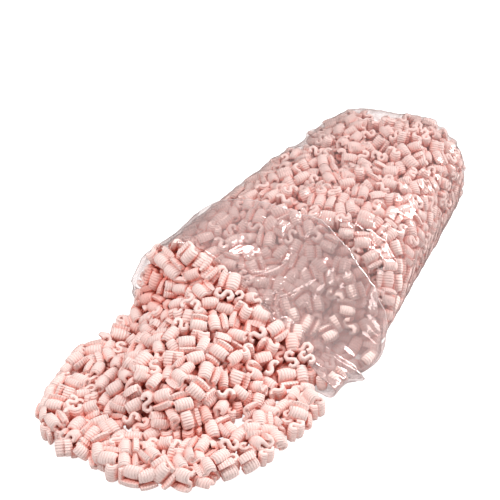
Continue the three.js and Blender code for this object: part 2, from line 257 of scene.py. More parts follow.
# One peanut is four balls for its neighbours and a ring of corners for the floor, in millimetres.
BALL_RADIUS = 8.3
BALLS = np.array([(0.0, y, z) for y in (-5.6, 5.6) for z in (-3.4, 3.4)])
HOOK_REACH = 8.6
HOOK_OFFSET = 5.2
HALF_WIDTH = 11.5
CORNERS = np.array([
    (HOOK_REACH * math.cos(turn), side * HOOK_OFFSET + HOOK_REACH * math.sin(turn), end * HALF_WIDTH)
    for side in (-1, 1) for end in (-1, 1) for turn in np.arange(8) * math.pi / 4])
SIZE_RANGE = (0.9, 1.05)
FAR_END_SHRINK = 0.18
SCATTER_HALF_WIDTH = 190
SCATTER_LOW = 8
SCATTER_HIGH = 160
PACK_STEPS = 200
PAIR_MARGIN = 3.0
PAIR_REFRESH = 6
GRAVITY_STEP = 0.16
PUSH = 1.5
WALL_PUSH = 1.5
LONGEST_SLIDE = 4
LARGEST_TURN = 0.35
TURN_INERTIA = 20
FLOOR_CLEAR = 1.8
FLOOR_LIFT = 0.7
FLOOR_LEVELLING = 0.25
TOP_CLEAR_SHARE = 0.8
DEEPEST_TOP_PUSH = 3
TOP_CELL = 22.0


def close_pairs(points, reach):
    """Pairs of points nearer than reach, found through a grid of cells."""
    cells = np.floor((points - points.min(axis=0)) / reach).astype(np.int64) + 1
    size = cells.max(axis=0) + 2
    key = (cells[:, 0] * size[1] + cells[:, 1]) * size[2] + cells[:, 2]
    order = np.argsort(key, kind="stable")
    ordered = key[order]
    steps = [(a, b, c) for a in (-1, 0, 1) for b in (-1, 0, 1) for c in (-1, 0, 1)]
    first = []
    second = []
    for a, b, c in steps[13:]:
        wanted = key + (a * size[1] + b) * size[2] + c
        start = np.searchsorted(ordered, wanted, "left")
        count = np.searchsorted(ordered, wanted, "right") - start
        i = np.repeat(np.arange(len(points)), count)
        inside = np.arange(len(i)) - np.repeat(np.cumsum(count) - count, count)
        j = order[np.repeat(start, count) + inside]
        keep = i < j if (a, b, c) == (0, 0, 0) else np.ones(len(i), bool)
        first.append(i[keep])
        second.append(j[keep])
    i = np.concatenate(first)
    j = np.concatenate(second)
    near = np.linalg.norm(points[i] - points[j], axis=1) < reach
    return i[near], j[near]


def turn_by(turns, small):
    """Applies small rotation vectors to rotation matrices and keeps them square."""
    angle = np.linalg.norm(small, axis=1) + 1e-12
    axis = small / angle[:, None]
    angle = np.minimum(angle, LARGEST_TURN)
    zero = np.zeros(len(small))
    skew = np.stack([
        np.stack([zero, -axis[:, 2], axis[:, 1]], axis=1),
        np.stack([axis[:, 2], zero, -axis[:, 0]], axis=1),
        np.stack([-axis[:, 1], axis[:, 0], zero], axis=1)], axis=1)
    sine = np.sin(angle)[:, None, None]
    cosine = np.cos(angle)[:, None, None]
    change = np.eye(3) + sine * skew + (1 - cosine) * (skew @ skew)
    turned = change @ turns
    first = turned[:, :, 0] / np.linalg.norm(turned[:, :, 0], axis=1, keepdims=True)
    second = turned[:, :, 1] - first * np.sum(first * turned[:, :, 1], axis=1, keepdims=True)
    second /= np.linalg.norm(second, axis=1, keepdims=True)
    return np.stack([first, second, np.cross(first, second)], axis=2)


def random_turns(count, random):
    """Evenly spread random rotation matrices."""
    quaternions = random.normal(size=(count, 4))
    quaternions /= np.linalg.norm(quaternions, axis=1, keepdims=True)
    w, x, y, z = quaternions.T
    return np.stack([
        np.stack([1 - 2 * (y * y + z * z), 2 * (x * y - z * w), 2 * (x * z + y * w)], axis=1),
        np.stack([2 * (x * y + z * w), 1 - 2 * (x * x + z * z), 2 * (y * z - x * w)], axis=1),
        np.stack([2 * (x * z - y * w), 2 * (y * z + x * w), 1 - 2 * (x * x + y * y)], axis=1)], axis=1)


class Packing:
    """Peanuts as four balls each, pushed apart until they lie packed in the container."""

    def __init__(self, bag, heap, fixed_places, fixed_turns, settings):
        self.bag = bag
        self.heap = heap
        self.random = np.random.default_rng(settings.seed)
        start = np.concatenate([
            self.scatter(settings.in_bag, heap.back_y, bag.end_y),
            self.scatter(settings.in_heap, heap.LOW[1], heap.back_y)])
        self.free = len(start)
        self.places = np.concatenate([start, fixed_places])
        into_bag = np.clip((start[:, 1] - heap.back_y) / (bag.end_y - heap.back_y), 0, 1)
        sizes = self.random.uniform(*SIZE_RANGE, self.free) * (1 - FAR_END_SHRINK * into_bag)
        self.sizes = np.concatenate([sizes, np.ones(len(fixed_places))])
        self.turns = np.concatenate([random_turns(self.free, self.random), fixed_turns])
        spread = np.sum(BALLS ** 2) * np.eye(3) - BALLS.T @ BALLS
        self.inverse_spread = np.linalg.inv(spread + np.eye(3) * TURN_INERTIA)

    def allowed(self, points):
        """Whether each point is inside the bag or under the heap's height limit."""
        height = self.heap.at(points[:, 0], points[:, 1])[0]
        in_heap = (points[:, 1] < self.heap.back_y) & (points[:, 2] < height)
        centre = self.bag.centre(points[:, 1])
        away = points[:, [0, 2]] - centre
        distance = np.linalg.norm(away, axis=1)
        angle = np.arctan2(away[:, 1], away[:, 0])
        in_bag = distance < self.bag.radius(points[:, 1], angle) - BALL_RADIUS
        in_front = points[:, 1] < self.bag.low_y
        past_mouth = self.bag.is_open(points[:, 1], angle)
        return np.where(points[:, 1] > self.heap.back_y, in_bag, in_heap & (in_bag | in_front | past_mouth))

    def scatter(self, count, low_y, high_y):
        """Random places inside the container between two slices."""
        low = (-SCATTER_HALF_WIDTH, low_y, SCATTER_LOW)
        high = (SCATTER_HALF_WIDTH, high_y, SCATTER_HIGH)
        chosen = np.zeros((0, 3))
        while len(chosen) < count:
            tries = self.random.uniform(low, high, (count * 2, 3))
            chosen = np.concatenate([chosen, tries[self.allowed(tries)]])
        return chosen[:count]

    def walls(self, balls, radius):
        """How far each ball has to move to be back inside the container."""
        move = np.zeros_like(balls)
        y = balls[:, 1]
        centre = self.bag.centre(y)
        away = balls[:, [0, 2]] - centre
        distance = np.linalg.norm(away, axis=1) + 1e-9
        angle = np.arctan2(away[:, 1], away[:, 0])
        over = distance + radius - self.bag.radius(y, angle)
        over = np.where(self.bag.is_open(y, angle), 0, np.maximum(over, 0))
        move[:, 0] -= over * away[:, 0] / distance
        move[:, 2] -= over * away[:, 1] / distance
        move[:, 1] -= np.maximum(y + radius - self.bag.end_y, 0)
        height, slope_x, slope_y = self.heap.at(balls[:, 0], y)
        steep = np.sqrt(1 + slope_x ** 2 + slope_y ** 2)
        above = (balls[:, 2] + radius * steep * TOP_CLEAR_SHARE - height) / steep
        above = np.where(y < self.heap.back_y, np.clip(above, 0, DEEPEST_TOP_PUSH), 0)
        move[:, 0] += above * slope_x / steep
        move[:, 1] += above * slope_y / steep
        move[:, 2] -= above / steep
        move[:, 2] += np.maximum(radius + FLOOR_CLEAR - (balls[:, 2] + move[:, 2]), 0)
        return move

    def burial(self):
        """How deep each peanut lies under the surface of the fill or heap, in millimetres."""
        x, y, z = self.places.T
        column = np.rint(x / TOP_CELL).astype(int)
        row = np.rint(y / TOP_CELL).astype(int)
        column -= column.min() - 1
        row -= row.min() - 1
        top = np.zeros((column.max() + 2, row.max() + 2))
        np.maximum.at(top, (column, row), z)
        under = top[column, row] - z
        away = self.places[:, [0, 2]] - self.bag.centre(y)
        angle = np.arctan2(away[:, 1], away[:, 0])
        from_wall = self.bag.radius(y, angle) - np.linalg.norm(away, axis=1) - HOOK_REACH
        closed = ~self.bag.is_open(y, angle)
        return np.where(closed, np.minimum(under, from_wall), under)

    def run(self, steps):
        """Pushes overlapping peanuts apart, step by step, and lets them settle."""
        per = len(BALLS)
        body = np.repeat(np.arange(len(self.places)), per)
        still = body >= self.free
        radius = BALL_RADIUS * self.sizes[body]
        size = self.sizes[:, None, None]
        for step in range(steps):
            arms = np.einsum("nij,kj->nki", self.turns, BALLS) * size
            balls = (self.places[:, None] + arms).reshape(-1, 3)
            if step % PAIR_REFRESH == 0:
                i, j = close_pairs(balls, 2 * BALL_RADIUS + PAIR_MARGIN)
                other = body[i] != body[j]
                i = i[other]
                j = j[other]
            between = balls[j] - balls[i]
            distance = np.linalg.norm(between, axis=1) + 1e-9
            overlap = np.maximum(radius[i] + radius[j] - distance, 0)
            share = np.where(still[i] | still[j], 1.0, 0.5)
            push = between * (overlap * share / distance)[:, None]
            touches = np.bincount(i, overlap > 0, len(balls)) + np.bincount(j, overlap > 0, len(balls))
            move = np.stack([
                np.bincount(j, push[:, axis], len(balls)) - np.bincount(i, push[:, axis], len(balls))
                for axis in range(3)], axis=1)
            move /= np.maximum(touches, 1)[:, None] ** 0.5
            move += self.walls(balls, radius) * WALL_PUSH
            move[still] = 0
            move = move.reshape(-1, per, 3)
            slide = move.mean(axis=1) * PUSH
            slide[:, 2] -= GRAVITY_STEP * (1 - step / steps)
            torque = np.cross(arms, move).sum(axis=1)
            low_arms = np.einsum("nij,kj->nki", self.turns, CORNERS) * size
            sunk = np.maximum(FLOOR_CLEAR - self.places[:, None, 2] - low_arms[:, :, 2], 0)
            slide[:, 2] += sunk.max(axis=1) * FLOOR_LIFT
            lift = sunk[:, :, None] * np.array([0, 0, 1.0])
            torque += np.cross(low_arms, lift).sum(axis=1) * FLOOR_LEVELLING
            local = np.einsum("nji,nj->ni", self.turns, torque)
            small = np.einsum("nij,nj->ni", self.turns, local @ self.inverse_spread) * PUSH
            length = np.linalg.norm(slide, axis=1, keepdims=True)
            slide *= np.minimum(1, LONGEST_SLIDE / (length + 1e-9))
            self.places[:self.free] += slide[:self.free]
            self.turns[:self.free] = turn_by(self.turns[:self.free], small[:self.free])
        low_arms = np.einsum("nij,kj->nki", self.turns, CORNERS) * size
        lowest = self.places[:, 2] + low_arms[:, :, 2].min(axis=1)
        self.places[:self.free, 2] += np.maximum(FLOOR_CLEAR - lowest, 0)[:self.free]


class CreviceShadeGrid:
    """How closely the space round a place is packed with peanuts, from 0 to 1, used as painted shade in the
    crevices between peanuts.
    """

    CELL = 4.0
    MARGIN = 40.0
    BLURS = 3
    REACH = 8.0
    LIFT = 5.0
    OPEN = 0.14
    CLOSED = 0.52

    def __init__(self, balls, radius):
        self.low = balls.min(axis=0) - self.MARGIN
        size = np.ceil((balls.max(axis=0) + self.MARGIN - self.low) / self.CELL).astype(int) + 1
        grid = np.zeros(size)
        base = np.rint((balls - self.low) / self.CELL).astype(int)
        for i in range(-2, 3):
            for j in range(-2, 3):
                for k in range(-2, 3):
                    cell = base + (i, j, k)
                    away = np.linalg.norm(cell * self.CELL + self.low - balls, axis=1)
                    filled = np.clip((radius - away) / self.CELL + 0.5, 0, 1)
                    np.maximum.at(grid, (cell[:, 0], cell[:, 1], cell[:, 2]), filled)
        for _ in range(self.BLURS):
            for axis in range(3):
                grid = (np.roll(grid, 1, axis) + grid + np.roll(grid, -1, axis)) / 3
        self.grid = grid

    def mark(self, piece):
        """Stores painted crevice shade at each vertex of a piece as its attribute, from how closely the
        space just outside it is packed.
        """
        count = len(piece.data.vertices)
        places = np.empty(count * 3)
        normals = np.empty(count * 3)
        piece.data.vertices.foreach_get("co", places)
        piece.data.vertex_normals.foreach_get("vector", normals)
        probe = places.reshape(-1, 3) / MM + normals.reshape(-1, 3) * self.REACH + (0, 0, self.LIFT)
        cell = np.rint((probe - self.low) / self.CELL).astype(int)
        cell = np.clip(cell, 0, np.array(self.grid.shape) - 1)
        value = self.grid[cell[:, 0], cell[:, 1], cell[:, 2]]
        crevice_shade = np.clip((value - self.OPEN) / (self.CLOSED - self.OPEN), 0, 1)
        layer = piece.data.attributes.new("crevice_shade", "FLOAT", "POINT")
        layer.data.foreach_set("value", crevice_shade.tolist())


LOOSE_STANDING = 20.0


def local_outline(settings):
    """Points of one peanut's middle line in its own frame, in millimetres."""
    turn = np.linspace(-1, 1, 41) * settings.hook
    side = np.sign(turn)
    bend = settings.bend / MM
    return np.stack([
        side * bend * np.sin(np.abs(turn)), -side * bend * (1 - np.cos(np.abs(turn)))], axis=1)


def loose_pose(name, settings):
    """Place and turn of a loose CAD peanut, read back from its vertices."""
    points = np.array([v.co for v in frame["nodes"][name].data.vertices]) / MM
    low, high = box_of(name)
    centre = (low + high) / 2
    flat = points[:, :2] - centre[:2]
    outline = local_outline(settings)
    main = np.linalg.eigh(flat.T @ flat)[1][:, 1]
    if high[2] - low[2] > LOOSE_STANDING:
        own = np.linalg.eigh(outline.T @ outline)[1][:, 1]
        yaw = math.atan2(main[1], main[0]) - math.atan2(own[1], own[0])
        return centre, np.array(Matrix.Rotation(yaw, 3, "Z"))
    across = flat @ np.array([-main[1], main[0]])
    lean = np.sum((points[:, 2] - centre[2]) * across)
    if lean * np.sum(outline[:, 0] * outline[:, 1]) > 0:
        main = -main
    yaw = math.atan2(main[1], main[0])
    return centre, np.array(Matrix.Rotation(yaw, 3, "Z") @ Matrix.Rotation(math.pi / 2, 3, "Y"))


# ------------------------------------------------------------------ node helpers

class NodeBuilder:
    """Adds nodes to a tree and wires or sets their inputs."""

    def __init__(self, tree):
        self.tree = tree

    def add(self, kind, inputs=None, **settings):
        """A new node; an input given as another node's socket is wired, any other is set."""
        node = self.tree.nodes.new(kind)
        for name, value in settings.items():
            setattr(node, name, value)
        for key, value in (inputs or {}).items():
            if isinstance(value, bpy.types.NodeSocket):
                self.tree.links.new(value, node.inputs[key])
            else:
                node.inputs[key].default_value = value
        return node

    def math(self, operation, first, second=0.0, third=0.0, clamp=False):
        """The result of a Math node."""
        sockets = {0: first, 1: second, 2: third}
        return self.add("ShaderNodeMath", sockets, operation=operation, use_clamp=clamp).outputs[0]

    def attribute(self, name, kind="FLOAT"):
        """A named attribute in a Geometry Nodes tree."""
        node = self.add("GeometryNodeInputNamedAttribute", {"Name": name}, data_type=kind)
        return node.outputs["Attribute"]

    def painted(self, name):
        """A named attribute in a material."""
        return self.add("ShaderNodeAttribute", attribute_name=name).outputs["Fac"]

    def mix(self, factor, first, second):
        """A mix of two colours, each a socket or a plain colour."""
        node = self.add("ShaderNodeMix", {0: factor}, data_type="RGBA")
        for index, value in ((6, first), (7, second)):
            if isinstance(value, bpy.types.NodeSocket):
                self.tree.links.new(value, node.inputs[index])
            else:
                node.inputs[index].default_value = (*value, 1.0)[:4]
        return node.outputs[2]


def new_group(name, kind, inputs, outputs):
    """A node group with named inputs and outputs; returns it with its builder and end nodes."""
    tree = bpy.data.node_groups.new(name, kind)
    for label, socket, default in inputs:
        made = tree.interface.new_socket(label, in_out="INPUT", socket_type=socket)
        if default is not None:
            made.default_value = default
    for label, socket in outputs:
        tree.interface.new_socket(label, in_out="OUTPUT", socket_type=socket)
    builder = NodeBuilder(tree)
    start = builder.add("NodeGroupInput").outputs
    end = builder.add("NodeGroupOutput").inputs
    return tree, builder, start, end


# ------------------------------------------------------------------ peanut geometry nodes

EDGE_ROUNDING = 3.2
EDGE_REACH = 0.93
RIBS_ACROSS = 6


def peanut_tree():
    """Geometry Nodes: one S-shaped foam peanut, swept from a ribbed strip."""
    tree, n, start, end = new_group(
        "peanut shape", "GeometryNodeTree",
        [("Strip", "NodeSocketFloat", 0.0068), ("Bend", "NodeSocketFloat", 0.0052),
         ("Width", "NodeSocketFloat", 0.023), ("Hook", "NodeSocketFloat", 4.68),
         ("Hook Share", "NodeSocketFloat", 1.0), ("Points Along", "NodeSocketInt", 11),
         ("Points Across", "NodeSocketInt", 8), ("Rib Height", "NodeSocketFloat", 0.0)],
        [("Geometry", "NodeSocketGeometry")])
    index = n.add("GeometryNodeInputIndex").outputs[0]

    line = n.add("GeometryNodeMeshLine", {"Count": start["Points Along"]}).outputs[0]
    spaces = n.math("SUBTRACT", start["Points Along"], 1)
    along = n.math("MULTIPLY_ADD", n.math("DIVIDE", index, spaces), 2, -1)
    side = n.math("SIGN", along)
    turn = n.math("MULTIPLY", n.math("ABSOLUTE", along),
                  n.math("MULTIPLY", start["Hook"], start["Hook Share"]))
    arm = n.math("MULTIPLY", side, start["Bend"])
    place = n.add("ShaderNodeCombineXYZ", {
        0: n.math("MULTIPLY", arm, n.math("SINE", turn)),
        1: n.math("MULTIPLY", arm, n.math("SUBTRACT", n.math("COSINE", turn), 1))}).outputs[0]
    line = n.add("GeometryNodeSetPosition", {"Geometry": line, "Position": place}).outputs[0]
    line = n.add("GeometryNodeStoreNamedAttribute",
                 {"Geometry": line, "Name": "along", "Value": along}).outputs[0]
    curve = n.add("GeometryNodeMeshToCurve", {0: line}).outputs[0]
    curve = n.add("GeometryNodeSetCurveNormal", {"Curve": curve}, mode="Z_UP").outputs[0]

    ring = n.add("GeometryNodeCurvePrimitiveCircle", {"Resolution": start["Points Across"]}).outputs[0]
    count = start["Points Across"]
    step = n.math("DIVIDE", n.math("ADD", index, 0.5), count)
    wave = n.math("MULTIPLY_ADD", n.math("PINGPONG", step, 0.5), 4, -1)
    widest = n.math("SUBTRACT", 1, n.math("DIVIDE", 2, count))
    across = n.math("DIVIDE", wave, widest)
    power = n.math("POWER", n.math("ABSOLUTE", n.math("MULTIPLY", across, EDGE_REACH)), EDGE_ROUNDING)
    edge = n.math("POWER", n.math("SUBTRACT", 1, power), 1 / EDGE_ROUNDING)
    groove = n.math("SUBTRACT", 1, n.math("ABSOLUTE", n.math(
        "COSINE", n.math("MULTIPLY", across, RIBS_ACROSS * math.pi / 2))))
    half = n.math("SUBTRACT", n.math("MULTIPLY", n.math("MULTIPLY", start["Strip"], 0.5), edge),
                  n.math("MULTIPLY", start["Rib Height"], groove))
    face = n.math("SIGN", n.math("SUBTRACT", 0.5, step))
    outline = n.add("ShaderNodeCombineXYZ", {
        0: n.math("MULTIPLY", face, half),
        1: n.math("MULTIPLY", across, n.math("MULTIPLY", start["Width"], 0.5))}).outputs[0]
    ring = n.add("GeometryNodeSetPosition", {"Geometry": ring, "Position": outline}).outputs[0]
    ring = n.add("GeometryNodeStoreNamedAttribute",
                 {"Geometry": ring, "Name": "across", "Value": across}).outputs[0]

    body = n.add("GeometryNodeCurveToMesh",
                 {"Curve": curve, "Profile Curve": ring, "Fill Caps": True}).outputs[0]
    body = n.add("GeometryNodeSetShadeSmooth", {"Geometry": body}).outputs[0]
    n.tree.links.new(body, end["Geometry"])
    return tree


HOOK_SHARES = (1.0, 0.88, 0.66)
HOOK_CHANCES = (0.5, 0.3, 0.2)


def pile_tree(shape, material):
    """Geometry Nodes: a peanut on every point, turned, sized and tinted by the point's attributes."""
    inputs = [(item.name, item.socket_type, item.default_value) for item in shape.interface.items_tree
              if item.in_out == "INPUT" and item.name != "Hook Share"]
    tree, n, start, end = new_group(
        "peanut pile", "GeometryNodeTree", [("Points", "NodeSocketGeometry", None)] + inputs,
        [("Geometry", "NodeSocketGeometry")])
    kinds = n.add("GeometryNodeGeometryToInstance")
    for share in reversed(HOOK_SHARES):
        one = n.add("GeometryNodeGroup", node_tree=shape)
        for label, socket, default in inputs:
            n.tree.links.new(start[label], one.inputs[label])
        one.inputs["Hook Share"].default_value = share
        n.tree.links.new(one.outputs[0], kinds.inputs[0])
    placed = n.add("GeometryNodeInstanceOnPoints", {
        "Points": start["Points"], "Instance": kinds.outputs[0], "Pick Instance": True,
        "Instance Index": n.attribute("kind", "INT"), "Rotation": n.attribute("turn", "FLOAT_VECTOR"),
        "Scale": n.attribute("size")})
    real = n.add("GeometryNodeRealizeInstances", {0: placed.outputs[0]}).outputs[0]
    coated = n.add("GeometryNodeSetMaterial", {"Geometry": real, "Material": material}).outputs[0]
    n.tree.links.new(coated, end["Geometry"])
    return tree


def euler_angles(turns):
    """XYZ Euler angles of rotation matrices."""
    return np.stack([
        np.arctan2(turns[:, 2, 1], turns[:, 2, 2]), -np.arcsin(np.clip(turns[:, 2, 0], -1, 1)),
        np.arctan2(turns[:, 1, 0], turns[:, 0, 0])], axis=1)


def pile_mesh(name, tree, places, turns, kinds, sizes, tints, depth_shades, settings, detail):
    """Runs the pile tree on these peanuts and keeps the result as a plain mesh object."""
    points = bpy.data.meshes.new(name)
    points.from_pydata([tuple(place) for place in places * MM], [], [])
    for label, kind, values in (
            ("turn", "FLOAT_VECTOR", euler_angles(turns)), ("kind", "INT", kinds),
            ("size", "FLOAT", sizes), ("tint", "FLOAT", tints), ("depth_shade", "FLOAT", depth_shades)):
        layer = points.attributes.new(label, kind, "POINT")
        layer.data.foreach_set("vector" if kind == "FLOAT_VECTOR" else "value", np.ravel(values).tolist())
    piece = bpy.data.objects.new(name, points)
    bpy.context.scene.collection.objects.link(piece)
    modifier = piece.modifiers.new("peanuts", "NODES")
    modifier.node_group = tree
    values = {
        "Strip": settings.strip, "Bend": settings.bend, "Width": settings.width, "Hook": settings.hook,
        **detail}
    for item in tree.interface.items_tree:
        if item.in_out == "INPUT" and item.name in values:
            modifier[item.identifier] = values[item.name]
    bpy.context.view_layer.update()
    graph = bpy.context.evaluated_depsgraph_get()
    made = bpy.data.meshes.new_from_object(piece.evaluated_get(graph), depsgraph=graph)
    piece.modifiers.clear()
    piece.data = made
    made.name = name
    bpy.data.meshes.remove(points)
    return piece


# How finely a peanut is drawn: deep in the fill, near the film, and on its own on the floor.
CORE = {"Points Along": 8, "Points Across": 4, "Rib Height": 0.0}
COARSE = {"Points Along": 11, "Points Across": 8, "Rib Height": 0.0}
FINE = {"Points Along": 25, "Points Across": 48, "Rib Height": 0.0006}
CORE_DEPTH = 24.0
HALF_WAY_Y = 170.0
# Painted shade on buried peanuts: how far under the surface it begins, and over how many millimetres it
# grows to full.
DEPTH_SHADE_FROM = 5
DEPTH_SHADE_OVER = 30
# Painted shade colour: the foam colour raised to these powers per channel, standing in for light bounced
# between the peanuts.
PAINTED_SHADE_POWERS = (1.6, 4.0, 4.2)
LIGHTEST = 1.035


# ------------------------------------------------------------------ materials

def new_material(name):
    """An empty node material with its builder and output node."""
    material = bpy.data.materials.new(name)
    material.use_nodes = True
    material.node_tree.nodes.clear()
    n = NodeBuilder(material.node_tree)
    return material, n, n.add("ShaderNodeOutputMaterial")


def foam_material(settings):
    """Pale pink closed-cell foam: ribs along the strip, with painted shade, a deeper colour in the rib
    grooves, in crevices and where peanuts are buried.
    """
    material, n, output = new_material("pink foam")
    across = n.painted("across")
    tint = n.painted("tint")
    depth_shade = n.painted("depth_shade")
    crevice_shade = n.painted("crevice_shade")
    place = n.add("ShaderNodeTexCoord").outputs["Object"]
    wander = n.add("ShaderNodeTexNoise", {"Vector": place, "Scale": 70.0, "Detail": 1.0}).outputs[0]
    phase = n.math("MULTIPLY_ADD", across, RIBS_ACROSS * math.pi / 2, n.math("MULTIPLY", wander, 1.8))
    rib = n.math("ABSOLUTE", n.math("COSINE", phase))
    groove = n.math("POWER", n.math("SUBTRACT", 1, rib), 3)
    pores = n.add("ShaderNodeTexNoise", {"Vector": place, "Scale": 900.0, "Detail": 2.0}).outputs[0]
    color = tuple(settings.color)
    # The darker colour of the painted shade.
    deep = tuple(channel ** power for channel, power in zip(color, PAINTED_SHADE_POWERS))
    light = tuple(min(1.0, channel * LIGHTEST) for channel in color)
    shade = n.mix(tint, color, light)
    # Painted shade: the rib grooves get a little of the darker colour.
    shade = n.mix(n.math("MULTIPLY", groove, 0.12), shade, deep)
    # Painted shade in the crevices between peanuts, where neighbours pack close.
    shade = n.mix(n.math("MULTIPLY", crevice_shade, 0.85), shade, deep)
    # Painted shade on peanuts buried under the surface.
    shade = n.mix(n.math("MULTIPLY", depth_shade, 0.38), shade, deep)
    height = n.math("MULTIPLY_ADD", pores, 0.12, rib)
    bump = n.add("ShaderNodeBump", {"Height": height, "Distance": 0.0009, "Strength": 0.9}).outputs[0]
    foam = n.add("ShaderNodeBsdfPrincipled", {
        "Base Color": shade, "Roughness": 0.62, "Normal": bump, "IOR": 1.35,
        "Specular IOR Level": 0.35})
    n.tree.links.new(foam.outputs[0], output.inputs[0])
    return material


# ------------------------------------------------------------------ building

class PEANUTBAG_OT_peanuts(bpy.types.Operator):
    """Pack the peanuts of the fill, the heap and the loose ones."""

    bl_idname = "peanutbag.peanuts"
    bl_label = "Pack peanuts"

    def execute(self, context):
        settings = context.scene.peanutbag_peanuts
        random = np.random.default_rng(settings.seed)
        loose_places, loose_turns = zip(*(loose_pose(name, settings) for name in LOOSE_NODES))
        bag = BagShape()
        heap = HeapShape()
        packing = Packing(bag, heap, np.array(loose_places), np.array(loose_turns), settings)
        packing.run(PACK_STEPS)
        count = len(packing.places)
        free = packing.free
        sizes = packing.sizes
        kinds = random.choice(len(HOOK_SHARES), count, p=HOOK_CHANCES)
        kinds[free:] = 0
        tints = random.uniform(0, 1, count)
        burial = packing.burial()
        # Painted shade: peanuts buried deeper under the surface get a darker colour.
        depth_shades = np.clip((burial - DEPTH_SHADE_FROM) / DEPTH_SHADE_OVER, 0, 1)
        depth_shades[free:] = 0
        arms = np.einsum("nij,kj->nki", packing.turns, BALLS) * sizes[:, None, None]
        balls = (packing.places[:, None] + arms).reshape(-1, 3)
        # Painted shade: the crevices between peanuts get a darker colour from how closely the balls pack
        # round them.
        crevice_shade_grid = CreviceShadeGrid(balls, np.repeat(BALL_RADIUS * sizes, len(BALLS)))
        foam = foam_material(settings)
        tree = pile_tree(peanut_tree(), foam)
        free_ones = np.arange(count) < free
        in_bag = (packing.places[:, 1] > heap.back_y) & free_ones
        core = in_bag & (burial > CORE_DEPTH)
        outer = in_bag & ~core
        front = packing.places[:, 1] < HALF_WAY_Y
        for name, node, chosen, detail in (
                ("fill_front_peanuts", FILL_NODE, outer & front, COARSE),
                ("fill_back_peanuts", FILL_NODE, outer & ~front, COARSE),
                ("fill_core_peanuts", FILL_NODE, core, CORE),
                ("heap_peanuts", HEAP_NODE, free_ones & ~in_bag, COARSE)):
            piece = pile_mesh(name, tree, packing.places[chosen], packing.turns[chosen], kinds[chosen],
                              sizes[chosen], tints[chosen], depth_shades[chosen], settings, detail)
            crevice_shade_grid.mark(piece)
            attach(piece, BODY)
            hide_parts(node)
        for k, name in enumerate(LOOSE_NODES):
            at = slice(free + k, free + k + 1)
            piece = pile_mesh("loose_peanut_" + name[-2:], tree, packing.places[at], packing.turns[at],
                              kinds[at], sizes[at], tints[at], depth_shades[at], settings, FINE)
            crevice_shade_grid.mark(piece)
            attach(piece, BODY)
            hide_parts(name)
        return {"FINISHED"}


# ------------------------------------------------------------------ film

class FilmSettings(bpy.types.PropertyGroup):
    """The clear film and its flat size."""

    wall: bpy.props.FloatProperty(
        name="Film thickness", description="Thickness of the film wall", default=0.3 * MM, unit="LENGTH")
    lay_flat_width: bpy.props.FloatProperty(
        name="Lay-flat width", description="Width of the empty bag pressed flat",
        default=0.44, unit="LENGTH")
    flat_length: bpy.props.FloatProperty(
        name="Flat length", description="Length of the empty bag pressed flat, cuff unrolled",
        default=0.66, unit="LENGTH")
    # Painted light: the pink of the haze stands in for light from the pink peanuts seen through the film;
    # clear film has no such colour.
    color: bpy.props.FloatVectorProperty(
        name="Film colour", description="Colour of the film's haze", subtype="COLOR", size=3,
        default=(0.95, 0.77, 0.75))
    seed: bpy.props.IntProperty(name="Seed", description="Seed of the creases", default=5)


INSIDE_FILM = ("fill_front_peanuts", "fill_back_peanuts", "heap_peanuts")
RIM_AT_FLOOR = -228.4
RIM_SIDE_SLOPE = -0.083
RIM_LEAN = 0.346
CUFF_EDGE_Y = -90.0
CUFF_EDGE_SLOPE = -0.4
CUFF_EDGE_FROM_X = 150.0


def rim_y(points):
    """Where the plane of the mouth lies at these points."""
    return BASE_Y + RIM_AT_FLOOR + RIM_SIDE_SLOPE * (points[..., 0] - BASE_X) + RIM_LEAN * points[..., 2]


def cuff_edge_y(points):
    """Where the free edge of the turned-back film lies."""
    past = np.maximum(points[..., 0] - BASE_X - CUFF_EDGE_FROM_X, 0)
    return BASE_Y + CUFF_EDGE_Y + CUFF_EDGE_SLOPE * past


